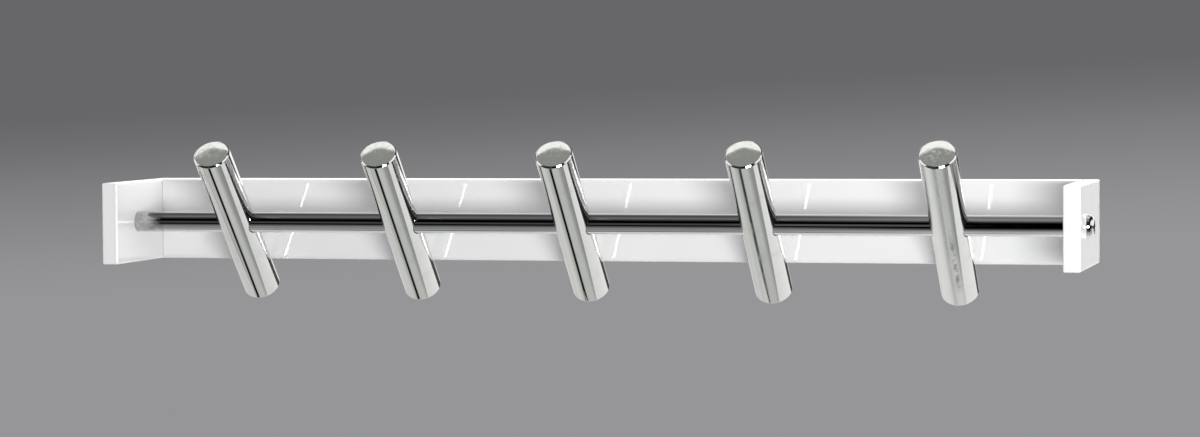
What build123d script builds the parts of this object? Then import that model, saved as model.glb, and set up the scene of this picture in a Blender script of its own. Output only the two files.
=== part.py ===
from build123d import *
import math
import os

# Coat hook rail: five loose pegs on a rod, held between two end plates in front of a folded panel.
# X runs along the rail, Y runs into the wall, Z is up. The origin lies on the wall, in the middle
# of the four wall screw holes. All lengths are in millimetres.

# End plates
inner_length = 580.0  # clear length between the end plates
plate_thickness = 10.0
plate_depth = 100.0  # from the wall to the front edge
plate_height = 50.0
plate_edge = 1.0  # rounding of the edges that show
plate_back_edge = 0.5  # small chamfer against the wall

# Back panel, a folded sheet tray that is open towards the wall
panel_height = plate_height  # flush with the end plates at the top and bottom
panel_depth = 26.0  # the front face stands this far off the wall
panel_sheet = 2.0
panel_bend = 2.5  # outer bend radius

# Rod
rod_diameter = 12.5
rod_stand_off = 66.0  # rod axis to the wall
rod_seat_depth = 2.0  # how far each rod end goes into its end plate
rod_seat_clearance = 0.1
rod_end_chamfer = 0.5

# Pegs
peg_count = 5
peg_diameter = 22.5
peg_upper = 62.0  # rod axis to the upper end
peg_lower = 60.0  # rod axis to the lower end
peg_chamfer = 0.8
peg_end_gap = 68.0  # inner face of an end plate to the first evenly spaced peg
peg_slide = (-1.9, -6.4, -8.6, -5.0, -2.4)  # how far each peg has been slid off even spacing
bore_clearance = 0.4  # radial, between the rod and a peg's cross hole
rest_gap = 0.1  # between a leaning peg and the lower edge of the panel

# Button head screws that hold the rod
rod_screw_diameter = 8.0
rod_screw_length = 25.0
rod_screw_head_diameter = 14.0
rod_screw_head_height = 4.4
rod_screw_socket = 5.0  # across flats
rod_screw_socket_depth = 2.6
rod_thread_depth = 20.0
screw_hole_clearance = 0.3  # radial, in a plain screw hole
thread_gap = 0.05  # radial, between a screw and its tapped hole

# Low cap head screws that hold the panel to the end plates
panel_screw_diameter = 4.0
panel_screw_length = 8.0
panel_screw_head_diameter = 7.0
panel_screw_head_height = 2.2
panel_screw_head_chamfer = 0.4
panel_screw_socket = 2.5
panel_screw_socket_depth = 1.3
panel_screw_spacing = 24.0
panel_screw_inset = 13.0  # from the wall
panel_thread_depth = 7.0

# Wall brackets, which stay on the wall while the rail slides over them
bracket_end_gap = 70.0  # inner face of an end plate to the middle of a bracket
bracket_width = 40.0
bracket_sheet = 2.5
bracket_bend = 3.0  # outer bend radius
bracket_leg = 20.0  # length of the two legs, from the wall
bracket_fit = 0.3  # between a leg and the flange beside it
wall_hole_diameter = 5.5
wall_hole_spacing = 24.0

# Countersunk screws that lock the rail to the brackets from below
lock_screw_diameter = 4.0
lock_screw_length = 8.0
lock_screw_head_diameter = 7.6
lock_screw_inset = 12.0  # from the wall
lock_screw_socket = 2.5
lock_screw_socket_depth = 1.2

# A peg leans until its side meets the rounded lower edge of the panel
edge_back = rod_stand_off - panel_depth + panel_bend
edge_drop = panel_height / 2 - panel_bend
edge_reach = math.hypot(edge_back, edge_drop)
peg_touch = peg_diameter / 2 + panel_bend + rest_gap
peg_tilt = math.acos(peg_touch / edge_reach) - math.atan2(edge_drop, edge_back)

half_length = inner_length / 2
peg_pitch = (inner_length - 2 * peg_end_gap) / (peg_count - 1)
rod_length = inner_length + 2 * rod_seat_depth
screw_levels = (-panel_screw_spacing / 2, panel_screw_spacing / 2)
bracket_places = (bracket_end_gap - half_length, half_length - bracket_end_gap)

os.makedirs("parts", exist_ok=True)

# Back panel
with BuildPart() as back_panel:
    with BuildSketch(Plane.XZ):
        Rectangle(inner_length, panel_height)
    extrude(amount=panel_depth)
    fillet(back_panel.faces().sort_by(Axis.Y)[0].edges(), panel_bend)
    offset(amount=-panel_sheet, openings=back_panel.faces().sort_by(Axis.Y)[-1])
    for side in (-1, 1):
        with BuildSketch(Plane.YZ.offset(side * half_length)):
            with Locations(*[(-panel_screw_inset, level) for level in screw_levels]):
                Circle(panel_screw_diameter / 2 + screw_hole_clearance)
        extrude(amount=-side * panel_sheet, mode=Mode.SUBTRACT)
    with Locations(*[
        Plane(origin=(x, -lock_screw_inset, -panel_height / 2), z_dir=(0, 0, -1))
        for x in bracket_places
    ]):
        CounterSinkHole(
            radius=lock_screw_diameter / 2 + screw_hole_clearance,
            counter_sink_radius=lock_screw_head_diameter / 2 + thread_gap,
            depth=panel_sheet,
            counter_sink_angle=90,
        )
back_panel.part.label = "back_panel"
export_step(back_panel.part, "parts/back_panel.step")

# End plates, a left and a right one
for name, side in (("end_plate_left", -1), ("end_plate_right", 1)):
    inner_face = Plane.YZ.offset(side * half_length)
    with BuildPart() as end_plate:
        with BuildSketch(inner_face):
            with Locations((-plate_depth / 2, 0)):
                Rectangle(plate_depth, plate_height)
        extrude(amount=side * plate_thickness)
        back_edges = end_plate.faces().sort_by(Axis.Y)[-1].edges()
        fillet(end_plate.edges() - back_edges, plate_edge)
        chamfer(end_plate.faces().sort_by(Axis.Y)[-1].edges(), plate_back_edge)
        with BuildSketch(inner_face):
            with Locations((-rod_stand_off, 0)):
                Circle(rod_diameter / 2 + rod_seat_clearance)
        extrude(amount=side * rod_seat_depth, mode=Mode.SUBTRACT)
        with BuildSketch(inner_face):
            with Locations((-rod_stand_off, 0)):
                Circle(rod_screw_diameter / 2 + screw_hole_clearance)
        extrude(amount=side * plate_thickness, mode=Mode.SUBTRACT)
        with BuildSketch(inner_face):
            with Locations(*[(-panel_screw_inset, level) for level in screw_levels]):
                Circle(panel_screw_diameter / 2 + thread_gap)
        extrude(amount=side * panel_thread_depth, mode=Mode.SUBTRACT)
    end_plate.part.label = name
    export_step(end_plate.part, f"parts/{name}.step")

# Rod, tapped at both ends
with BuildPart() as rod:
    with BuildSketch(Plane.YZ.offset(-rod_length / 2)):
        with Locations((-rod_stand_off, 0)):
            Circle(rod_diameter / 2)
    extrude(amount=rod_length)
    chamfer(rod.edges().filter_by(GeomType.CIRCLE), rod_end_chamfer)
    with Locations(rod.faces().sort_by(Axis.X)[0], rod.faces().sort_by(Axis.X)[-1]):
        Hole(radius=rod_screw_diameter / 2 + thread_gap, depth=rod_thread_depth)
rod.part.label = "rod"
export_step(rod.part, "parts/rod.step")

# Pegs, each with a cross hole for the rod
for index in range(peg_count):
    peg_x = (index - (peg_count - 1) / 2) * peg_pitch + peg_slide[index % len(peg_slide)]
    peg_axis = Plane(
        origin=(peg_x, -rod_stand_off, 0),
        x_dir=(1, 0, 0),
        z_dir=(0, -math.sin(peg_tilt), math.cos(peg_tilt)),
    )
    with BuildPart() as peg:
        with BuildSketch(peg_axis.offset(-peg_lower)):
            Circle(peg_diameter / 2)
        extrude(amount=peg_lower + peg_upper)
        chamfer(peg.edges().filter_by(GeomType.CIRCLE), peg_chamfer)
        with BuildSketch(Plane.YZ.offset(peg_x)):
            with Locations((-rod_stand_off, 0)):
                Circle(rod_diameter / 2 + bore_clearance)
        extrude(amount=peg_diameter, both=True, mode=Mode.SUBTRACT)
    peg.part.label = f"peg_{index + 1}"
    export_step(peg.part, f"parts/peg_{index + 1}.step")

# Button head screws through the end plates into the rod
with BuildPart() as rod_screws:
    for side in (-1, 1):
        seat = Plane(
            origin=(side * (half_length + plate_thickness), -rod_stand_off, 0),
            x_dir=(side, 0, 0),
            z_dir=(0, -1, 0),
        )
        shank = rod_screw_diameter / 2
        head = rod_screw_head_diameter / 2
        with BuildSketch(seat):
            with BuildLine():
                Polyline(
                    (rod_screw_head_height, head * 0.5),
                    (rod_screw_head_height, 0),
                    (-rod_screw_length, 0),
                    (-rod_screw_length, shank - 0.8),
                    (-rod_screw_length + 0.8, shank),
                    (0, shank),
                    (0, head),
                    (rod_screw_head_height * 0.14, head),
                )
                ThreePointArc(
                    (rod_screw_head_height * 0.14, head),
                    (rod_screw_head_height * 0.7, head * 0.82),
                    (rod_screw_head_height, head * 0.5),
                )
            make_face()
        revolve(axis=Axis(seat.origin, seat.x_dir))
        with BuildSketch(Plane(origin=seat.origin + seat.x_dir * rod_screw_head_height, z_dir=seat.x_dir)):
            RegularPolygon(rod_screw_socket / 2, 6, major_radius=False)
        extrude(amount=-rod_screw_socket_depth, mode=Mode.SUBTRACT)
rod_screws.part.label = "rod_screws"
export_step(rod_screws.part, "parts/rod_screws.step")

# Low cap head screws from inside the panel into the end plates
with BuildPart() as panel_screws:
    for side in (-1, 1):
        for level in screw_levels:
            seat = Plane(
                origin=(side * (half_length - panel_sheet), -panel_screw_inset, level),
                x_dir=(-side, 0, 0),
                z_dir=(0, -1, 0),
            )
            shank = panel_screw_diameter / 2
            head = panel_screw_head_diameter / 2
            with BuildSketch(seat):
                with BuildLine():
                    Polyline(
                        (panel_screw_head_height, 0),
                        (-panel_screw_length, 0),
                        (-panel_screw_length, shank),
                        (0, shank),
                        (0, head),
                        (panel_screw_head_height - panel_screw_head_chamfer, head),
                        (panel_screw_head_height, head - panel_screw_head_chamfer),
                        (panel_screw_head_height, 0),
                    )
                make_face()
            revolve(axis=Axis(seat.origin, seat.x_dir))
            top = seat.origin + seat.x_dir * panel_screw_head_height
            with BuildSketch(Plane(origin=top, z_dir=seat.x_dir)):
                RegularPolygon(panel_screw_socket / 2, 6, major_radius=False)
            extrude(amount=-panel_screw_socket_depth, mode=Mode.SUBTRACT)
panel_screws.part.label = "panel_screws"
export_step(panel_screws.part, "parts/panel_screws.step")

# Wall brackets, folded to a U that fits between the flanges of the panel
bracket_half_height = panel_height / 2 - panel_sheet - bracket_fit
for name, bracket_x in zip(("wall_bracket_left", "wall_bracket_right"), bracket_places):
    with BuildPart() as wall_bracket:
        with BuildSketch(Plane.YZ.offset(bracket_x - bracket_width / 2)):
            with Locations((-bracket_leg / 2, 0)):
                Rectangle(bracket_leg, 2 * bracket_half_height)
        extrude(amount=bracket_width)
        wall_side = wall_bracket.faces().sort_by(Axis.Y)[-1]
        fillet(wall_side.edges().filter_by(Axis.X), bracket_bend)
        inner_height = 2 * (bracket_half_height - bracket_sheet)
        with BuildSketch(Plane.YZ.offset(bracket_x - bracket_width / 2)):
            with Locations((-bracket_leg / 2 - bracket_sheet, 0)):
                Rectangle(bracket_leg, inner_height)
        extrude(amount=bracket_width, mode=Mode.SUBTRACT)
        with BuildSketch(Plane.XZ):
            with Locations(*[(bracket_x, z) for z in (-wall_hole_spacing / 2, wall_hole_spacing / 2)]):
                Circle(wall_hole_diameter / 2)
        extrude(amount=bracket_sheet, mode=Mode.SUBTRACT)
        with BuildSketch(Plane.XY.offset(-bracket_half_height)):
            with Locations((bracket_x, -lock_screw_inset)):
                Circle(lock_screw_diameter / 2 + thread_gap)
        extrude(amount=bracket_sheet, mode=Mode.SUBTRACT)
    wall_bracket.part.label = name
    export_step(wall_bracket.part, f"parts/{name}.step")

# Countersunk screws from below, flush with the panel
with BuildPart() as lock_screws:
    for bracket_x in bracket_places:
        flush = Plane(
            origin=(bracket_x, -lock_screw_inset, -panel_height / 2),
            x_dir=(0, 0, 1),
            z_dir=(0, -1, 0),
        )
        shank = lock_screw_diameter / 2
        head = lock_screw_head_diameter / 2
        with BuildSketch(flush):
            with BuildLine():
                Polyline(
                    (0, 0),
                    (lock_screw_length, 0),
                    (lock_screw_length, shank),
                    (head - shank, shank),
                    (0, head),
                    (0, 0),
                )
            make_face()
        revolve(axis=Axis(flush.origin, flush.x_dir))
        with BuildSketch(Plane(origin=flush.origin, z_dir=(0, 0, -1))):
            RegularPolygon(lock_screw_socket / 2, 6, major_radius=False)
        extrude(amount=-lock_screw_socket_depth, mode=Mode.SUBTRACT)
lock_screws.part.label = "lock_screws"
export_step(lock_screws.part, "parts/lock_screws.step")

print("peg tilt from the vertical, in degrees:", round(math.degrees(peg_tilt), 3))
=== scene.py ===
import math

import bmesh
import bpy
from mathutils import Matrix, Vector


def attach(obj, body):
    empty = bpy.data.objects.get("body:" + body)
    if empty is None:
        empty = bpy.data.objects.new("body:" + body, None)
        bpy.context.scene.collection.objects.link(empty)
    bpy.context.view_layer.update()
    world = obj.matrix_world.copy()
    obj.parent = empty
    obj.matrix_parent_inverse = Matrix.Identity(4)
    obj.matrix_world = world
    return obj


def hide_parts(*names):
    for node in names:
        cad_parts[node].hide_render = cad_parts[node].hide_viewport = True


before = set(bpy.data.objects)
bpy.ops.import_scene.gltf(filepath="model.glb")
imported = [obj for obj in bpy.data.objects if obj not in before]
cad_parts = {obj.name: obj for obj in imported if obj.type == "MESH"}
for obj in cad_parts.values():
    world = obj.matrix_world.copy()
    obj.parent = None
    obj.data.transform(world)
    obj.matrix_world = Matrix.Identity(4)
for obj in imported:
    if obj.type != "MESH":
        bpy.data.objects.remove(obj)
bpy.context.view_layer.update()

# All sizes are in metres. X runs along the rail, Y runs into the wall, Z is up.

# Sizes of the end plates
PLATE_THICK, PLATE_DEEP, PLATE_HIGH = 0.010, 0.100, 0.050
PLATE_EDGE = 0.0010  # rounding of the edges that show
PLATE_BACK_EDGE = 0.0005  # small chamfer against the wall

# Sizes of the back panel, a folded sheet tray that is open towards the wall
PANEL_LONG, PANEL_DEEP, PANEL_HIGH = 0.580, 0.026, PLATE_HIGH
PANEL_SHEET = 0.002
PANEL_BEND, PANEL_END_BEND, PANEL_INNER_BEND = 0.0025, 0.0004, 0.0005

# Sizes of the rod, which is tapped at both ends
ROD_OUT = 0.066  # rod axis to the wall
ROD_SEAT = 0.002  # how far each rod end goes into its end plate
ROD_SEAT_CLEARANCE = 0.0001
ROD_RADIUS, ROD_LONG = 0.00625, PANEL_LONG + 2 * ROD_SEAT
ROD_CHAMFER = 0.0005
ROD_BORE, ROD_BORE_DEPTH, ROD_BORE_CHAMFER = 0.00405, 0.020, 0.0003

# Sizes and places of the pegs
PEG_RADIUS, PEG_BORE = 0.01125, 0.00665
PEG_UP, PEG_DOWN = 0.062, 0.060  # rod axis to the two ends
PEG_CHAMFER, PEG_CROWN = 0.0008, 0.00035
PEG_PLACES = (-0.2239, -0.1174, -0.0086, 0.1060, 0.2196)
PEG_LEAN = math.radians(45.364)

# Sizes and places of the screws and their holes
HOLE_CLEARANCE, THREAD_GAP = 0.0003, 0.00005
ROD_SCREW_RADIUS, ROD_SCREW_LONG = 0.004, 0.025
ROD_SCREW_HEAD_RADIUS, ROD_SCREW_HEAD_HIGH = 0.007, 0.0044
ROD_SCREW_SOCKET, ROD_SCREW_SOCKET_DEEP = 0.0025, 0.0026  # half the width across flats
PANEL_SCREW_RADIUS, PANEL_SCREW_IN = 0.002, 0.013
PANEL_SCREW_LEVELS = (-0.012, 0.012)
PANEL_THREAD_DEPTH = 0.007
LOCK_SCREW_RADIUS, LOCK_SCREW_HEAD_RADIUS, LOCK_SCREW_IN = 0.002, 0.00385, 0.012
LOCK_SCREW_PLACES = (-0.22, 0.22)
OVERSHOOT = 0.001  # how far a cutter starts outside the piece that it cuts
SHEET_HOLE_START, SHEET_HOLE_DEPTH = 0.002, 0.006  # from outside the sheet, right through it
COUNTERSINK_DEPTH = 0.0029  # of the cutter, overshoot included


# Modelling helpers

def clear_selection():
    if bpy.context.mode != "OBJECT":
        bpy.ops.object.mode_set(mode="OBJECT")
    bpy.ops.object.select_all(action="DESELECT")


def choose(piece):
    clear_selection()
    piece.select_set(True)
    bpy.context.view_layer.objects.active = piece


def name_piece(name):
    piece = bpy.context.object
    piece.name = piece.data.name = name
    return piece


def pick(piece, kind, test):
    """In edit mode, selects only the edges or vertices for which test is true."""
    bpy.ops.mesh.select_mode(type=kind)
    bpy.ops.mesh.select_all(action="DESELECT")
    mesh = bmesh.from_edit_mesh(piece.data)
    for item in mesh.edges if kind == "EDGE" else mesh.verts:
        if test(item):
            item.select_set(True)
    mesh.select_flush_mode()
    bmesh.update_edit_mesh(piece.data)


def apply_place(piece):
    choose(piece)
    bpy.ops.object.transform_apply(location=True, rotation=True, scale=True)


def finish_modifier(piece, kind, **settings):
    choose(piece)
    modifier = piece.modifiers.new(kind.title(), kind)
    for key, value in settings.items():
        setattr(modifier, key, value)
    bpy.ops.object.modifier_apply(modifier=modifier.name)


def add_block(name, middle, size):
    clear_selection()
    bpy.ops.mesh.primitive_cube_add(size=1, location=middle, scale=size)
    block = name_piece(name)
    apply_place(block)
    return block


def cut(piece, cutter):
    """Cuts one piece out of another, then removes the cutter."""
    finish_modifier(piece, "BOOLEAN", operation="DIFFERENCE", solver="EXACT", object=cutter)
    bpy.data.objects.remove(cutter, do_unlink=True)


def drill(piece, start, direction, depth, radius, steps=64):
    """A plain round hole from a point, along a direction."""
    clear_selection()
    along = Vector(direction).normalized()
    middle = Vector(start) + along * (depth / 2)
    bpy.ops.mesh.primitive_cylinder_add(
        vertices=steps, radius=radius, depth=depth, location=middle,
        rotation=along.to_track_quat("Z", "Y").to_euler())
    cut(piece, bpy.context.object)


def turn(name, profile, start, direction, steps):
    """Turns a profile of (distance along the axis, radius) round an axis, as on a lathe."""
    clear_selection()
    bpy.ops.mesh.primitive_plane_add(size=0.001, location=(0, 0, 0))
    piece = name_piece(name)
    bpy.ops.object.mode_set(mode="EDIT")
    bpy.ops.mesh.select_all(action="SELECT")
    bpy.ops.mesh.merge(type="CENTER")
    last = (0.0, 0.0)
    for count, (along, out) in enumerate(profile):
        if count == 0:
            bpy.ops.transform.translate(value=(out, 0, along))
        else:
            bpy.ops.mesh.extrude_region_move(
                TRANSFORM_OT_translate={"value": (out - last[1], 0, along - last[0])})
        last = (along, out)
    bpy.ops.mesh.select_all(action="SELECT")
    bpy.ops.mesh.spin(steps=steps, angle=math.tau, center=(0, 0, 0), axis=(0, 0, 1))
    bpy.ops.mesh.select_all(action="SELECT")
    bpy.ops.mesh.remove_doubles(threshold=0.000002)
    bpy.ops.mesh.normals_make_consistent(inside=False)
    bpy.ops.object.mode_set(mode="OBJECT")
    piece.rotation_euler = Vector(direction).to_track_quat("Z", "Y").to_euler()
    piece.location = start
    apply_place(piece)
    return piece


def smooth(piece, angle):
    choose(piece)
    bpy.ops.object.shade_smooth_by_angle(angle=math.radians(angle))


def weigh_normals(piece):
    finish_modifier(piece, "WEIGHTED_NORMAL", mode="FACE_AREA", weight=100, keep_sharp=True)


# Camera

PICTURE_WIDTH, SENSOR_WIDTH = 1200, 36.0
CAMERA_PLACE = (0.52148, -2.02633, 0.09374)
CAMERA_YAW, CAMERA_PITCH, CAMERA_ROLL = 14.94, 2.34, -0.41
FOCAL_LENGTH, SHIFT_X, SHIFT_Y = 3369.17, 15.67, -12.74  # in points of the picture's width


def aim_camera():
    yaw, pitch, roll = math.radians(CAMERA_YAW), math.radians(CAMERA_PITCH), math.radians(CAMERA_ROLL)
    ahead = Vector((-math.sin(yaw) * math.cos(pitch), math.cos(yaw) * math.cos(pitch), -math.sin(pitch)))
    right = Vector((math.cos(yaw), math.sin(yaw), 0.0))
    up = right.cross(ahead)
    side = math.cos(roll) * right + math.sin(roll) * up
    top = -math.sin(roll) * right + math.cos(roll) * up
    data = bpy.data.cameras.new("camera")
    camera = bpy.data.objects.new("camera", data)
    bpy.context.scene.collection.objects.link(camera)
    turned = Matrix((side, top, -ahead)).transposed().to_4x4()
    camera.matrix_world = Matrix.Translation(CAMERA_PLACE) @ turned
    data.sensor_width = SENSOR_WIDTH
    data.lens = FOCAL_LENGTH / PICTURE_WIDTH * SENSOR_WIDTH
    data.shift_x = SHIFT_X / PICTURE_WIDTH
    data.shift_y = SHIFT_Y / PICTURE_WIDTH
    data.clip_start, data.clip_end = 0.05, 2500.0
    bpy.context.scene.camera = camera


aim_camera()


# Shader helpers

def new_group(name, inputs, output):
    group = bpy.data.node_groups.new(name, "ShaderNodeTree")
    for label, kind, value in inputs:
        socket = group.interface.new_socket(label, in_out="INPUT", socket_type=kind)
        if value is not None:
            socket.default_value = value
    group.interface.new_socket(output, in_out="OUTPUT", socket_type="NodeSocketFloat")
    return group, group.nodes.new("NodeGroupInput"), group.nodes.new("NodeGroupOutput")


def add(tree, kind, **settings):
    node = tree.nodes.new(kind)
    for key, value in settings.items():
        setattr(node, key, value)
    return node


def feed(tree, socket, value):
    """Gives a socket a number, a colour or the result of another node."""
    if isinstance(value, (int, float)):
        socket.default_value = value
    elif isinstance(value, tuple):
        socket.default_value = (*value, 1.0)
    else:
        tree.links.new(value, socket)


def calculate(tree, operation, first, second):
    node = add(tree, "ShaderNodeMath", operation=operation)
    feed(tree, node.inputs[0], first)
    feed(tree, node.inputs[1], second)
    return node.outputs[0]


def times(tree, first, second):
    return calculate(tree, "MULTIPLY", first, second)


def plus(tree, first, second):
    return calculate(tree, "ADD", first, second)


def levels(tree, value, low, high, to_low=0.0, to_high=1.0, soft=True):
    node = add(tree, "ShaderNodeMapRange", interpolation_type="SMOOTHSTEP" if soft else "LINEAR")
    for socket, number in zip(node.inputs, (value, low, high, to_low, to_high)):
        feed(tree, socket, number)
    return node.outputs[0]


def band(tree, value, start, end, edge):
    """1 between start and end, with soft edges."""
    rise = levels(tree, value, start - edge, start + edge)
    fall = levels(tree, value, end - edge, end + edge, 1.0, 0.0)
    return times(tree, rise, fall)


def blend_colours(tree, factor, first, second):
    node = add(tree, "ShaderNodeMix", data_type="RGBA")
    for index, value in ((0, factor), (6, first), (7, second)):
        feed(tree, node.inputs[index], value)
    return node.outputs[2]


def colour_ramp(tree, value, table):
    """Blends through a table of (position from 0 to 1, colour)."""
    ramp = add(tree, "ShaderNodeValToRGB")
    stops = ramp.color_ramp.elements
    stops.remove(stops[1])
    for index, (position, colour) in enumerate(table):
        stop = stops[0] if index == 0 else stops.new(position)
        stop.position = position
        stop.color = (*colour, 1)
    tree.links.new(value, ramp.inputs[0])
    return ramp.outputs[0]


def level_ramp(tree, value, table, tint=(1, 1, 1)):
    """Grey levels at given places, for a value that runs from 0 at the first place to 1 at the last."""
    first, last = table[0][0], table[-1][0]
    return colour_ramp(tree, value, [
        ((place - first) / (last - first), tuple(level * part for part in tint)) for place, level in table])


def split(tree, vector):
    """The X, Y and Z parts of a vector."""
    parts = add(tree, "ShaderNodeSeparateXYZ")
    tree.links.new(vector, parts.inputs[0])
    return parts.outputs


def object_place(tree):
    return add(tree, "ShaderNodeTexCoord").outputs["Object"]


def grey(level):
    """An sRGB level of 0 to 255 as a linear number."""
    share = level / 255
    return share / 12.92 if share <= 0.04045 else ((share + 0.055) / 1.055) ** 2.4


# Surroundings

# The backdrop's tones, from far away (0) to near (0.54 and more)
BACKDROP_TONES = ((0.0, 103), (0.04, 104), (0.10, 109.5), (0.155, 116), (0.21, 123.8), (0.265, 129.5),
                  (0.32, 135), (0.375, 140), (0.43, 144.6), (0.485, 148), (0.54, 150))
TONE_AT_HORIZON, TONE_SIDEWAYS, TONE_DOWNWARDS = 0.1, 0.49, -9.24
FLOOR_LEVEL, FLOOR_RADIUS, FLOOR_NEARNESS, CAMERA_REACH = -0.55, 900.0, 5.95, 2.03


def backdrop_tones(tree, nearness):
    """Floor and backdrop in one sweep of grey, a little blue, darker with distance."""
    return colour_ramp(tree, nearness, [
        (position, (grey(level), grey(level), grey(level + 2))) for position, level in BACKDROP_TONES])


def start_glow(name):
    """A material without a surface so far, for things that give off a plain light."""
    material = bpy.data.materials.new(name)
    material.use_nodes = True
    tree = material.node_tree
    tree.nodes.clear()
    return material, tree


def glow(tree, colour):
    shader = add(tree, "ShaderNodeEmission")
    tree.links.new(colour, shader.inputs[0])
    return shader.outputs[0]


def finish_surface(tree, shader):
    out = add(tree, "ShaderNodeOutputMaterial")
    tree.links.new(shader, out.inputs[0])


def make_floor():
    clear_selection()
    bpy.ops.mesh.primitive_circle_add(vertices=96, radius=FLOOR_RADIUS, fill_type="NGON",
                                      location=(0, 0, FLOOR_LEVEL))
    floor = name_piece("floor")
    material, tree = start_glow("pale floor")
    place = object_place(tree)
    flat = add(tree, "ShaderNodeVectorMath", operation="MULTIPLY")
    flat.inputs[1].default_value = (1, 1, 0)
    length = add(tree, "ShaderNodeVectorMath", operation="LENGTH")
    tree.links.new(place, flat.inputs[0])
    tree.links.new(flat.outputs[0], length.inputs[0])
    reach = plus(tree, length.outputs["Value"], CAMERA_REACH)
    sideways = times(tree, calculate(tree, "DIVIDE", split(tree, place)["X"], reach), TONE_SIDEWAYS)
    nearness = plus(tree, sideways, TONE_AT_HORIZON)
    nearness = plus(tree, nearness, calculate(tree, "DIVIDE", FLOOR_NEARNESS, reach))
    # from below, the floor is clear
    under = add(tree, "ShaderNodeNewGeometry")
    clear = add(tree, "ShaderNodeBsdfTransparent")
    sides = add(tree, "ShaderNodeMixShader")
    tree.links.new(under.outputs["Backfacing"], sides.inputs[0])
    tree.links.new(glow(tree, backdrop_tones(tree, nearness)), sides.inputs[1])
    tree.links.new(clear.outputs[0], sides.inputs[2])
    finish_surface(tree, sides.outputs[0])
    floor.data.materials.append(material)
    floor.visible_glossy = floor.visible_diffuse = floor.visible_shadow = False


# Grey card under the rail: levels by the turn from straight down towards the right end, in degrees
UNDER_CARD = (
    (-60, 0.90), (-44, 0.86), (-37, 0.78), (-31, 0.66), (-26, 0.62), (-12, 0.66), (-3, 0.68), (12, 0.68),
    (16, 0.60), (20, 0.51), (24, 0.43), (28, 0.38), (34, 0.36), (41, 0.34), (47, 0.08), (60, 0.08))
UNDER_CARD_TINT = (1, 1.02, 0.98)
FAR_CARD = (0.84, 0.84, 0.84)

# Strips before, over and behind the rail, one set to its left and one for the rest: levels by the turn
# from the front up (positive) or down (negative) round the length of the rail, in degrees
LEFT_STRIP = (
    (-180, 0.90), (-134, 0.87), (-113, 0.82), (-92, 0.51), (-80, 0.45), (-70, 0.33), (-51, 0.33),
    (-39, 0.23), (-27, 0.08), (-18, 0.0), (-9, 0.02), (-4, 0.08), (5, 0.08), (14, 0.0), (33, 0.0),
    (39, 0.015), (51, 0.08), (64, 0.17), (77, 0.17), (90, 0.07), (104, 0.08), (116, 0.20), (130, 0.62),
    (145, 0.85), (156, 1.35), (180, 1.35))
RIGHT_STRIP = (
    (-180, 0.95), (-113, 0.90), (-92, 0.80), (-80, 0.66), (-68, 0.52), (-56, 0.34), (-42, 0.12),
    (-32, 0.02), (-22, 0.0), (27, 0.0), (38, 0.03), (50, 0.155), (62, 0.28), (74, 0.33), (90, 0.20),
    (104, 0.24), (120, 0.62), (145, 0.90), (156, 1.35), (180, 1.35))
GLINT, DARK_SCREEN = (0.12, 0.12, 0.12), (0.02, 0.02, 0.02)

# Cards over the rail that the peg ends mirror, the white cards far out at both ends, and the slit
OVER_GREY, OVER_WHITE, FAR_WHITE = (0.36, 0.378, 0.35), (1.35, 1.35, 1.31), (1.35, 1.35, 1.35)
SLIT_DARK = (0.004, 0.004, 0.005)
SLIT_ALONG_Y, SLIT_ALONG_Z, SLIT_MIDDLE, SLIT_ASKEW = 0.7115, 0.7027, 0.6788, 117.0

# Soft light on matt surfaces, by height
LIGHT_LEVEL, LIGHT_ABOVE, LIGHT_BELOW = (0.26, 0.26, 0.265), (0.90, 0.90, 0.90), (0.72, 0.72, 0.73)


def strips_round_rail(tree, x, rise):
    """Dark and bright strips before, over and behind the rail."""
    sweep = levels(tree, rise, -180.0, 180.0, soft=False)
    bright = blend_colours(tree, levels(tree, x, -0.22, -0.15),
                           level_ramp(tree, sweep, LEFT_STRIP), level_ramp(tree, sweep, RIGHT_STRIP))
    glint = times(tree, band(tree, rise, -10.0, 9.0, 4.0), band(tree, x, -0.215, -0.152, 0.006))
    bright = blend_colours(tree, glint, bright, GLINT)
    dark_right = times(tree, band(tree, x, 0.35, 0.76, 0.03), band(tree, rise, -62.0, 152.0, 3.0))
    bright = blend_colours(tree, dark_right, bright, DARK_SCREEN)
    over = band(tree, x, -0.70, 0.33, 0.02)
    bright = blend_colours(tree, times(tree, band(tree, rise, 60.0, 89.3, 0.5), over), bright, OVER_GREY)
    return blend_colours(tree, times(tree, band(tree, rise, 89.3, 106.0, 0.5), over), bright, OVER_WHITE)


def card_under_rail(tree, side, rise):
    """Grey card under the rail, lighter behind."""
    card = level_ramp(tree, levels(tree, side, -60.0, 60.0, soft=False), UNDER_CARD, UNDER_CARD_TINT)
    behind = times(tree, levels(tree, rise, -106.0, -103.0, 1.0, 0.0), band(tree, side, -33.0, 33.0, 2.0))
    return blend_colours(tree, behind, card, FAR_CARD)


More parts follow.
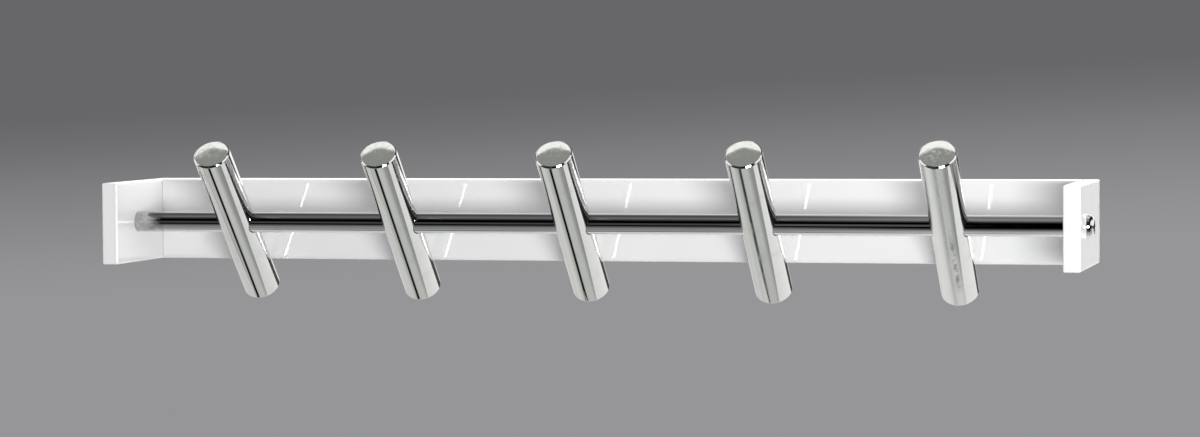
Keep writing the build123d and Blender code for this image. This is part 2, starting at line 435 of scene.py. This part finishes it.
def mirrored_cards(tree, x, y, z):
    """The white and dark cards that show in reflections."""
    # turn from straight down towards the right end (positive) or the left one (negative), in degrees
    side = times(tree, calculate(tree, "ARCTAN2", x, times(tree, z, -1.0)), 180 / math.pi)
    # turn from the front up (positive) or down (negative) round the length of the rail, in degrees
    rise = times(tree, calculate(tree, "ARCTAN2", z, times(tree, y, -1.0)), 180 / math.pi)
    below = levels(tree, z, -0.02, 0.02, 1.0, 0.0)
    under = times(tree, levels(tree, rise, -90.5, -89.0, 1.0, 0.0), below)
    under_back = times(tree, levels(tree, y, -0.01, 0.02), below)
    mirrored = blend_colours(tree, calculate(tree, "MAXIMUM", under, under_back),
                             strips_round_rail(tree, x, rise), card_under_rail(tree, side, rise))
    # dark slit in the card under the rail, a little askew
    slope = calculate(tree, "SUBTRACT", times(tree, y, SLIT_ALONG_Y), times(tree, z, SLIT_ALONG_Z))
    askew = times(tree, calculate(tree, "SUBTRACT", slope, SLIT_MIDDLE), SLIT_ASKEW)
    slit = times(tree, band(tree, plus(tree, side, askew), -18.0, -7.2, 2.6),
                 band(tree, rise, -99.5, -86.5, 0.7))
    mirrored = blend_colours(tree, slit, mirrored, SLIT_DARK)
    far_right = times(tree, levels(tree, x, 0.75, 0.79), levels(tree, z, 0.12, 0.20))
    far_left = times(tree, levels(tree, x, -0.79, -0.75, 1.0, 0.0), levels(tree, z, -0.02, 0.04))
    return blend_colours(tree, calculate(tree, "MAXIMUM", far_right, far_left), mirrored, FAR_WHITE)


def make_studio():
    """Plain background for the camera, cards for reflections and soft light for the rest."""
    world = bpy.data.worlds.new("studio")
    bpy.context.scene.world = world
    world.use_nodes = True
    tree = world.node_tree
    tree.nodes.clear()
    x, y, z = split(tree, add(tree, "ShaderNodeTexCoord").outputs["Generated"])
    soft_light = blend_colours(tree, levels(tree, z, -0.2, 1.0), LIGHT_LEVEL, LIGHT_ABOVE)
    soft_light = blend_colours(tree, levels(tree, z, -0.95, -0.5, 1.0, 0.0), soft_light, LIGHT_BELOW)
    path = add(tree, "ShaderNodeLightPath")
    unseen = blend_colours(tree, path.outputs["Is Glossy Ray"], soft_light, mirrored_cards(tree, x, y, z))
    rising = plus(tree, times(tree, x, TONE_SIDEWAYS), times(tree, z, TONE_DOWNWARDS))
    seen = backdrop_tones(tree, plus(tree, rising, TONE_AT_HORIZON))
    back = add(tree, "ShaderNodeBackground")
    tree.links.new(blend_colours(tree, path.outputs["Is Camera Ray"], unseen, seen), back.inputs[0])
    out = add(tree, "ShaderNodeOutputWorld")
    tree.links.new(back.outputs[0], out.inputs[0])


# Name, place, point aimed at, size, power, and whether reflections show the lamp
LAMPS = (
    ("key softbox", (0.72, -1.48, -0.08), (0.2, 0, 0), (0.58, 0.42), 17.3, True),
    ("side softbox", (2.6, -0.55, -0.1), (0.1, 0, 0), (1.2, 1.0), 17, False),
    ("end softbox", (1.15, 0.28, 0.0), (0.3, -0.05, 0), (0.5, 0.5), 16.5, False),
    ("back softbox", (0.2, 2.4, 1.6), (0, 0, 0), (2.2, 1.2), 26, False),
)


def add_lamp(name, place, aim, size, power, mirrored):
    data = bpy.data.lights.new(name, "AREA")
    data.shape, data.size, data.size_y = "RECTANGLE", size[0], size[1]
    data.energy = power
    lamp = bpy.data.objects.new(name, data)
    bpy.context.scene.collection.objects.link(lamp)
    lamp.location = place
    lamp.rotation_euler = (Vector(place) - Vector(aim)).to_track_quat("Z", "Y").to_euler()
    lamp.visible_camera = False
    lamp.visible_glossy = mirrored


def add_sheet(name, middle, size):
    """A flat level sheet that shows only in reflections."""
    clear_selection()
    bpy.ops.mesh.primitive_plane_add(size=1, location=middle)
    sheet = name_piece(name)
    sheet.scale = (*size, 1)
    apply_place(sheet)
    sheet.visible_camera = sheet.visible_diffuse = sheet.visible_shadow = False
    return sheet


# Levels across the flag over the rod, by millimetres from the wall, for its left and its right part
FLAG_LEFT = ((-100, 0.12), (-97, 0.17), (-80, 0.17), (-66, 0.085), (-55, 0.10), (-50, 0.10))
FLAG_RIGHT = ((-100, 0.24), (-97, 0.28), (-80, 0.33), (-66, 0.20), (-55, 0.24), (-50, 0.28))

# Levels along the white board behind the rail, by metres from the middle of the rail
BOARD_LEVELS = (
    (-1.0, 0.76), (-0.6, 0.78), (-0.35, 0.82), (-0.2, 0.87), (0.0, 0.91), (0.2, 0.98), (0.4, 1.03),
    (0.65, 1.08), (1.0, 1.1))
BOARD_TRIM = (0.40, 0.40, 0.40)
BOARD_BACK, BOARD_LEVEL = 1.9, -0.40


def make_flag():
    """Narrow dark flag over the rod."""
    flag = add_sheet("flag", (-0.02, -0.075, 0.06), (0.62, 0.05))
    material, tree = start_glow("dark flag")
    x, y, _ = split(tree, object_place(tree))
    across = levels(tree, y, -0.100, -0.050, soft=False)
    tones = blend_colours(tree, levels(tree, x, 0.08, 0.24),
                          level_ramp(tree, across, FLAG_LEFT), level_ramp(tree, across, FLAG_RIGHT))
    finish_surface(tree, glow(tree, tones))
    flag.data.materials.append(material)


def white_board_material():
    """White, lighter to the right, with a grey trim along the left part of the front edge."""
    material, tree = start_glow("white board")
    x, y, _ = split(tree, object_place(tree))
    white = level_ramp(tree, levels(tree, x, -1.0, 1.0, soft=False), BOARD_LEVELS)
    trim = times(tree, levels(tree, y, 0.012, 0.022, 1.0, 0.0), levels(tree, x, -0.34, -0.24, 1.0, 0.0))
    finish_surface(tree, glow(tree, blend_colours(tree, trim, white, BOARD_TRIM)))
    return material


def make_board(name, start, end, front_start, front_end, material):
    """White board low behind the rail, its front edge a little askew."""
    board = add_sheet(name, ((start + end) / 2, (front_start + BOARD_BACK) / 2, BOARD_LEVEL),
                      (end - start, BOARD_BACK - front_start))
    bpy.ops.object.mode_set(mode="EDIT")
    pick(board, "VERT", lambda v: v.co.x > end - 0.01 and v.co.y < BOARD_BACK / 2)
    bpy.ops.transform.translate(value=(0, front_end - front_start, 0))
    bpy.ops.object.mode_set(mode="OBJECT")
    board.data.materials.append(material)


make_floor()
make_studio()
for lamp in LAMPS:
    add_lamp(*lamp)
make_flag()
board_white = white_board_material()
make_board("right_board", -0.15, 2.5, 0.006, 0.11, board_white)
make_board("left_board", -2.5, -0.42, -0.006, -0.006, board_white)


# Finishes

PEG_STEEL, ROD_STEEL, SCREW_STEEL = (0.66, 0.665, 0.65), (0.64, 0.645, 0.645), (0.64, 0.645, 0.65)
ZINC = (0.62, 0.64, 0.67)
LACQUER_COOL, LACQUER_WARM = (0.835, 0.837, 0.843), (0.85, 0.85, 0.846)
SMUDGED, SMEARED = 0.86, 0.5  # share of the metal's colour that is left under smudges and smears
SMUDGE_ROUGHNESS = 0.16
GRAIN_FINENESS, GRAIN_STRETCH, GRAIN_STRENGTH = 1400.0, 0.012, 0.25
POLISH_GRAIN, ZINC_GRAIN, LACQUER_RIPPLE = 0.00002, 0.00006, 0.00004  # depth in metres

# Where marks fade in or out: along a peg for its top end and its lower half,
# along the rail for the rod's dull end, and by height for the rod's underside
PEG_TOP_END, PEG_LOWER_HALF = (0.1070, 0.1074), (0.028, 0.042)
ROD_DULL_END, ROD_UNDERSIDE = (-0.274, -0.270), (-0.0052, -0.0036)


def noise(tree, where, scale, detail, roughness=0.5):
    """Cloudy pattern, from about 0.2 to 0.8."""
    cloud = add(tree, "ShaderNodeTexNoise")
    cloud.inputs["Detail"].default_value = detail
    cloud.inputs["Roughness"].default_value = roughness
    tree.links.new(where, cloud.inputs["Vector"])
    feed(tree, cloud.inputs["Scale"], scale)
    return cloud.outputs["Fac"]


def make_smudge_group():
    group, given, result = new_group(
        "finger smudges",
        [("Place", "NodeSocketVector", None), ("Size", "NodeSocketFloat", 60.0),
         ("Amount", "NodeSocketFloat", 1.0)],
        "Mask")
    broad = noise(group, given.outputs["Place"], given.outputs["Size"], 4.0, 0.6)
    fine = noise(group, given.outputs["Place"], times(group, given.outputs["Size"], 9.0), 2.0)
    patches = levels(group, broad, 0.48, 0.72)
    specks = levels(group, fine, 0.45, 0.75, 0.6, 1.0)
    mask = times(group, times(group, patches, specks), given.outputs["Amount"])
    group.links.new(mask, result.inputs["Mask"])
    return group


def make_grain_group():
    group, given, result = new_group(
        "polishing grain",
        [("Place", "NodeSocketVector", None), ("Fineness", "NodeSocketFloat", 900.0),
         ("Stretch", "NodeSocketFloat", 0.02)],
        "Height")
    squeeze = add(group, "ShaderNodeCombineXYZ")
    squeeze.inputs[0].default_value = 1.0
    squeeze.inputs[1].default_value = 1.0
    group.links.new(given.outputs["Stretch"], squeeze.inputs[2])
    spread = add(group, "ShaderNodeVectorMath", operation="MULTIPLY")
    group.links.new(given.outputs["Place"], spread.inputs[0])
    group.links.new(squeeze.outputs[0], spread.inputs[1])
    lines = noise(group, spread.outputs[0], given.outputs["Fineness"], 3.0)
    group.links.new(lines, result.inputs["Height"])
    return group


SMUDGES = make_smudge_group()
GRAIN = make_grain_group()


def use_group(tree, group, where, **numbers):
    node = add(tree, "ShaderNodeGroup", node_tree=group)
    for label, number in numbers.items():
        node.inputs[label].default_value = number
    tree.links.new(where, node.inputs["Place"])
    return node.outputs[0]


def start_material(name):
    material = bpy.data.materials.new(name)
    material.use_nodes = True
    tree = material.node_tree
    shader = next(n for n in tree.nodes if n.type == "BSDF_PRINCIPLED")
    return material, tree, shader


def add_bump(tree, shader, height, strength, depth):
    bump = add(tree, "ShaderNodeBump")
    bump.inputs["Strength"].default_value = strength
    bump.inputs["Distance"].default_value = depth
    tree.links.new(height, bump.inputs["Height"])
    tree.links.new(bump.outputs[0], shader.inputs["Normal"])


def along_axis(tree, turned):
    """Object coordinates turned so that their Z runs along the piece."""
    mapping = add(tree, "ShaderNodeMapping", vector_type="POINT")
    mapping.inputs["Rotation"].default_value = turned
    tree.links.new(object_place(tree), mapping.inputs["Vector"])
    return mapping.outputs[0]


def shade(colour, share):
    return tuple(share * part for part in colour)


def bright_metal(name, turned, colour, rough, smudge, grain_depth,
                 film=None, film_rough=0.25, film_tint=0.8, smear=None):
    """Polished metal. The film is a thin dull layer of dust or fingers, the smear a darker one."""
    material, tree, shader = start_material(name)
    where = along_axis(tree, turned)
    marks = use_group(tree, SMUDGES, where, Size=55.0, Amount=smudge)
    tone = blend_colours(tree, marks, colour, shade(colour, SMUDGED))
    gloss = levels(tree, marks, 0.0, 1.0, rough, rough + SMUDGE_ROUGHNESS, soft=False)
    if film is not None:
        cover = film(tree, where)
        tone = blend_colours(tree, cover, tone, shade(colour, film_tint))
        gloss = plus(tree, gloss, times(tree, cover, film_rough))
    if smear is not None:
        tone = blend_colours(tree, smear(tree, where), tone, shade(colour, SMEARED))
    tree.links.new(tone, shader.inputs["Base Color"])
    tree.links.new(gloss, shader.inputs["Roughness"])
    grain = use_group(tree, GRAIN, where, Fineness=GRAIN_FINENESS, Stretch=GRAIN_STRETCH)
    add_bump(tree, shader, grain, GRAIN_STRENGTH, grain_depth)
    shader.inputs["Metallic"].default_value = 1.0
    return material


def white_lacquer(name):
    """High gloss lacquer with a faint ripple, a breath of colour change and a few finger marks."""
    material, tree, shader = start_material(name)
    where = object_place(tree)
    tint = levels(tree, noise(tree, where, 9.0, 2.0), 0.35, 0.65)
    white = blend_colours(tree, tint, LACQUER_COOL, LACQUER_WARM)
    tree.links.new(white, shader.inputs["Base Color"])
    marks = use_group(tree, SMUDGES, where, Size=28.0, Amount=0.7)
    tree.links.new(levels(tree, marks, 0.0, 1.0, 0.06, 0.16, soft=False), shader.inputs["Roughness"])
    add_bump(tree, shader, noise(tree, where, 520.0, 1.5), 0.12, LACQUER_RIPPLE)
    shader.inputs["IOR"].default_value = 1.5
    shader.inputs["Coat Weight"].default_value = 0.6
    shader.inputs["Coat Roughness"].default_value = 0.03
    return material


def mottle(tree, where, scale, low, high):
    """Uneven patches of dust, from 0 to 1."""
    return levels(tree, noise(tree, where, scale, 5.0, 0.65), low, high)


def across_peg(tree, x, along):
    """From -1 at the left side of a peg to 1 at its right side."""
    return calculate(tree, "DIVIDE", calculate(tree, "SUBTRACT", x, along), PEG_RADIUS)


def peg_film(along, strip):
    """Dust on the top end of a peg, and a dull film down its left front and over the left of its lower
    half.
    """
    def film(tree, where):
        x, _, z = split(tree, where)
        top_end = levels(tree, z, *PEG_TOP_END)
        dust = times(tree, times(tree, top_end, mottle(tree, where, 420.0, 0.42, 0.66)), 0.45)
        if strip <= 0:
            return dust
        across = across_peg(tree, x, along)
        dull_strip = times(tree, band(tree, across, -0.90, 0.00, 0.12), strip)
        low = times(tree, levels(tree, z, *PEG_LOWER_HALF, 1.0, 0.0),
                    levels(tree, across, 0.25, 0.55, 1.0, 0.0))
        dull_strip = calculate(tree, "MAXIMUM", dull_strip, times(tree, low, strip * strip))
        dull_strip = times(tree, dull_strip, calculate(tree, "SUBTRACT", 1.0, top_end))
        return calculate(tree, "MAXIMUM", dust, dull_strip)
    return film


def peg_smear(along):
    """A dark streak that hands have left down the front of a peg."""
    def smear(tree, where):
        x, _, z = split(tree, where)
        streak = times(tree, band(tree, across_peg(tree, x, along), 0.10, 0.30, 0.10),
                       band(tree, z, 0.004, 0.046, 0.008))
        return times(tree, streak, mottle(tree, where, 300.0, 0.36, 0.60))
    return smear


def rod_film(tree, _):
    """Dull left end of the rod, and faint dust along its underside."""
    place = object_place(tree)
    x, _, z = split(tree, place)
    end = times(tree, levels(tree, x, *ROD_DULL_END, 1.0, 0.0), mottle(tree, place, 260.0, 0.30, 0.60))
    low = times(tree, levels(tree, z, *ROD_UNDERSIDE, 0.2, 0.0), mottle(tree, place, 330.0, 0.42, 0.66))
    return calculate(tree, "MAXIMUM", end, low)


LEAN_TURN = (-PEG_LEAN, 0, 0)
ROD_TURN = (0, -math.pi / 2, 0)
PEG_STRIPS = (0.0, 0.0, 0.0, 0.45, 1.0)  # how strongly each peg shows its dull film
WORN = 0.9  # from this strip on, a peg also has a smear, and its dull film is rougher and lighter than the bare steel


def peg_finish(number, along, strip):
    worn = strip >= WORN
    return bright_metal(
        f"polished peg steel {number}", LEAN_TURN, PEG_STEEL, 0.035, 0.9, POLISH_GRAIN,
        film=peg_film(along, strip), film_rough=0.25 if worn else 0.18, film_tint=1.14 if worn else 0.8,
        smear=peg_smear(along) if worn else None)


lacquer = white_lacquer("gloss white lacquer")
peg_metals = [peg_finish(number, along, strip)
              for number, (along, strip) in enumerate(zip(PEG_PLACES, PEG_STRIPS), 1)]
rod_metal = bright_metal("polished rod steel", ROD_TURN, ROD_STEEL, 0.03, 0.5, POLISH_GRAIN,
                         film=rod_film, film_rough=0.18, film_tint=0.72)
screw_metal = bright_metal("polished screw steel", ROD_TURN, SCREW_STEEL, 0.06, 0.6, POLISH_GRAIN)
zinc = bright_metal("bright zinc plate", ROD_TURN, ZINC, 0.24, 1.0, ZINC_GRAIN)


# Pegs

def make_peg():
    """One peg, standing upright at the origin: crowned ends, chamfered rims and the cross hole."""
    flat = PEG_RADIUS - PEG_CHAMFER

    def end(level, sign):
        crown = [(level - sign * PEG_CROWN * share ** 4, flat * share)
                 for share in (0.0, 0.2, 0.4, 0.55, 0.7, 0.82, 0.91, 0.97)]
        # the chamfer, with a narrow rounding on either side: depth under the crown, radius
        rim = [(0.00003, flat), (0.00010, flat + 0.00006), (0.00074, PEG_RADIUS - 0.00010),
               (0.00086, PEG_RADIUS - 0.00001), (0.00095, PEG_RADIUS)]
        return crown + [(level - sign * (PEG_CROWN + depth), radius) for depth, radius in rim]

    flank = (-PEG_DOWN + 0.0016, -PEG_DOWN + 0.0022, -0.03, 0.0, 0.03, PEG_UP - 0.0022, PEG_UP - 0.0016)
    profile = end(-PEG_DOWN, -1) + [(at, PEG_RADIUS) for at in flank] + end(PEG_UP, 1)[::-1]
    peg = turn("peg", profile, (0, 0, 0), (0, 0, 1), 192)
    drill(peg, (-0.02, 0, 0), (1, 0, 0), 0.04, PEG_BORE, 96)
    return peg


first_peg = make_peg()
for number, along in enumerate(PEG_PLACES, 1):
    peg = first_peg if number == len(PEG_PLACES) else first_peg.copy()
    if peg is not first_peg:
        peg.data = first_peg.data.copy()
        bpy.context.scene.collection.objects.link(peg)
    peg.name = peg.data.name = f"peg_{number}_piece"
    peg.rotation_euler = (PEG_LEAN, 0, 0)
    peg.location = (along, -ROD_OUT, 0)
    apply_place(peg)
    smooth(peg, 38)
    peg.data.materials.append(peg_metals[number - 1])
    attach(peg, f"peg_{number}")
    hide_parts(f"peg_{number}")


# Rod and its two screws

def make_rod():
    half = ROD_LONG / 2
    bore_cone = 0.002  # left by the point of the drill

    def end(sign):
        return [(sign * (half - ROD_BORE_DEPTH), ROD_BORE), (sign * (half - ROD_BORE_CHAMFER), ROD_BORE),
                (sign * half, ROD_BORE + ROD_BORE_CHAMFER), (sign * half, ROD_RADIUS - ROD_CHAMFER),
                (sign * (half - ROD_CHAMFER), ROD_RADIUS)]

    hole_end = half - ROD_BORE_DEPTH - bore_cone
    middle = [(at * 0.145, ROD_RADIUS) for at in (-1, 0, 1)]
    profile = [(-hole_end, 0.0)] + end(-1) + middle + end(1)[::-1] + [(hole_end, 0.0)]
    rod = turn("rod_piece", profile, (0, -ROD_OUT, 0), (1, 0, 0), 160)
    smooth(rod, 30)
    rod.data.materials.append(rod_metal)
    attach(rod, "rail")
    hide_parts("rod")


def make_rod_screw(name, side):
    """Button head screw with a hexagon socket, its head on the outside of an end plate."""
    shank, head, high = ROD_SCREW_RADIUS, ROD_SCREW_HEAD_RADIUS, ROD_SCREW_HEAD_HIGH
    point, lip = 0.0008, 0.0003  # chamfers at the point and under the head
    profile = [(-ROD_SCREW_LONG, 0.0), (-ROD_SCREW_LONG, shank - point), (-ROD_SCREW_LONG + point, shank),
               (0.0, shank), (0.0, head - lip), (lip, head)]
    dome_start = 0.0006
    dome_high, dome_wide = high - dome_start, head / 2
    profile += [(dome_start + dome_high * math.sin(turned), dome_wide + dome_wide * math.cos(turned))
                for turned in map(math.radians, (0, 12, 24, 36, 48, 60, 72, 84))]
    profile += [(high, 0.0034), (high, 0.0031), (high - 0.0001, 0.0030), (high - 0.0001, 0.0)]
    seat = (side * (PANEL_LONG / 2 + PLATE_THICK), -ROD_OUT, 0)
    screw = turn(name, profile, seat, (side, 0, 0), 64)
    clear_selection()
    bpy.ops.mesh.primitive_cylinder_add(
        vertices=6, radius=ROD_SCREW_SOCKET / math.cos(math.pi / 6), depth=2 * ROD_SCREW_SOCKET_DEEP,
        location=(seat[0] + side * high, seat[1], 0), rotation=(0, math.pi / 2, 0))
    cut(screw, bpy.context.object)
    smooth(screw, 32)
    screw.data.materials.append(screw_metal)
    return screw


make_rod()
rod_screws = [make_rod_screw("rod_screw_left", -1), make_rod_screw("rod_screw_right", 1)]
clear_selection()
for screw in rod_screws:
    screw.select_set(True)
bpy.context.view_layer.objects.active = rod_screws[0]
bpy.ops.object.join()
pair = name_piece("rod_screw_pair")
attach(pair, "rail")
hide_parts("rod_screws")


# End plates

def make_end_plate(name, side):
    inner = side * PANEL_LONG / 2
    plate = add_block(name, (inner + side * PLATE_THICK / 2, -PLATE_DEEP / 2, 0),
                      (PLATE_THICK, PLATE_DEEP, PLATE_HIGH))
    bpy.ops.object.mode_set(mode="EDIT")
    pick(plate, "EDGE", lambda e: not all(v.co.y > -0.001 for v in e.verts))
    bpy.ops.mesh.bevel(offset=PLATE_EDGE, offset_type="OFFSET", segments=8, profile=0.5, affect="EDGES")
    pick(plate, "EDGE", lambda e: all(v.co.y > -0.00001 for v in e.verts))
    bpy.ops.mesh.bevel(offset=PLATE_BACK_EDGE, offset_type="OFFSET", segments=1, affect="EDGES")
    bpy.ops.object.mode_set(mode="OBJECT")
    start, outwards = inner - side * OVERSHOOT, (side, 0, 0)
    drill(plate, (start, -ROD_OUT, 0), outwards, ROD_SEAT + OVERSHOOT, ROD_RADIUS + ROD_SEAT_CLEARANCE, 96)
    drill(plate, (start, -ROD_OUT, 0), outwards, 2 * PLATE_THICK, ROD_SCREW_RADIUS + HOLE_CLEARANCE)
    for level in PANEL_SCREW_LEVELS:
        drill(plate, (start, -PANEL_SCREW_IN, level), outwards, PANEL_THREAD_DEPTH + OVERSHOOT,
              PANEL_SCREW_RADIUS + THREAD_GAP, 32)
    smooth(plate, 35)
    weigh_normals(plate)
    plate.data.materials.append(lacquer)
    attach(plate, "rail")
    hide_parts(name.replace("_piece", ""))


make_end_plate("end_plate_left_piece", -1)
make_end_plate("end_plate_right_piece", 1)


# Back panel

def bend_panel(panel):
    """Rounds the front edges of the panel, more along its length than at its ends."""
    bpy.ops.object.mode_set(mode="EDIT")
    mesh = bmesh.from_edit_mesh(panel.data)
    weight = mesh.edges.layers.float.new("bevel_weight_edge")
    for edge in mesh.edges:
        if all(v.co.y < -PANEL_DEEP + 0.0001 for v in edge.verts):
            level_edge = abs(edge.verts[0].co.z - edge.verts[1].co.z) < 0.001
            edge[weight] = 1.0 if level_edge else PANEL_END_BEND / PANEL_BEND
    bmesh.update_edit_mesh(panel.data)
    bpy.ops.object.mode_set(mode="OBJECT")
    finish_modifier(panel, "BEVEL", width=PANEL_BEND, segments=8, limit_method="WEIGHT",
                    offset_type="OFFSET")


def hollow_panel(panel):
    """Leaves a sheet's thickness at the front and all round, and opens the panel towards the wall."""
    inside = (PANEL_LONG - 2 * PANEL_SHEET, PANEL_DEEP, PANEL_HIGH - 2 * PANEL_SHEET)
    hollow = add_block("hollow", (0, PANEL_SHEET - PANEL_DEEP / 2, 0), inside)
    bpy.ops.object.mode_set(mode="EDIT")
    pick(hollow, "EDGE", lambda e: all(v.co.y < -PANEL_SHEET for v in e.verts))
    bpy.ops.mesh.bevel(offset=PANEL_INNER_BEND, offset_type="OFFSET", segments=3, profile=0.5,
                       affect="EDGES")
    bpy.ops.object.mode_set(mode="OBJECT")
    cut(panel, hollow)


def countersink(panel, along):
    """Screw hole in the lower flange of the panel, countersunk from below."""
    drill(panel, (along, -LOCK_SCREW_IN, -PANEL_HIGH / 2 - SHEET_HOLE_START), (0, 0, 1), SHEET_HOLE_DEPTH,
          LOCK_SCREW_RADIUS + HOLE_CLEARANCE, 48)
    wide, depth = LOCK_SCREW_HEAD_RADIUS + OVERSHOOT, COUNTERSINK_DEPTH
    clear_selection()
    bpy.ops.mesh.primitive_cone_add(
        vertices=48, radius1=wide, radius2=wide - depth, depth=depth,
        location=(along, -LOCK_SCREW_IN, -PANEL_HIGH / 2 - OVERSHOOT + depth / 2))
    cut(panel, bpy.context.object)


def make_panel():
    panel = add_block("back_panel_piece", (0, -PANEL_DEEP / 2, 0), (PANEL_LONG, PANEL_DEEP, PANEL_HIGH))
    bend_panel(panel)
    hollow_panel(panel)
    for end in (-1, 1):
        for level in PANEL_SCREW_LEVELS:
            drill(panel, (end * (PANEL_LONG / 2 + SHEET_HOLE_START), -PANEL_SCREW_IN, level), (-end, 0, 0),
                  SHEET_HOLE_DEPTH, PANEL_SCREW_RADIUS + HOLE_CLEARANCE, 32)
    for along in LOCK_SCREW_PLACES:
        countersink(panel, along)
    smooth(panel, 35)
    weigh_normals(panel)
    panel.data.materials.append(lacquer)
    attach(panel, "rail")
    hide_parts("back_panel")


make_panel()


# Brackets and hidden screws

for node in ("panel_screws", "lock_screws", "wall_bracket_left", "wall_bracket_right"):
    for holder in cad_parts[node].material_slots:
        holder.material = zinc

bpy.context.scene.view_settings.view_transform = "Standard"
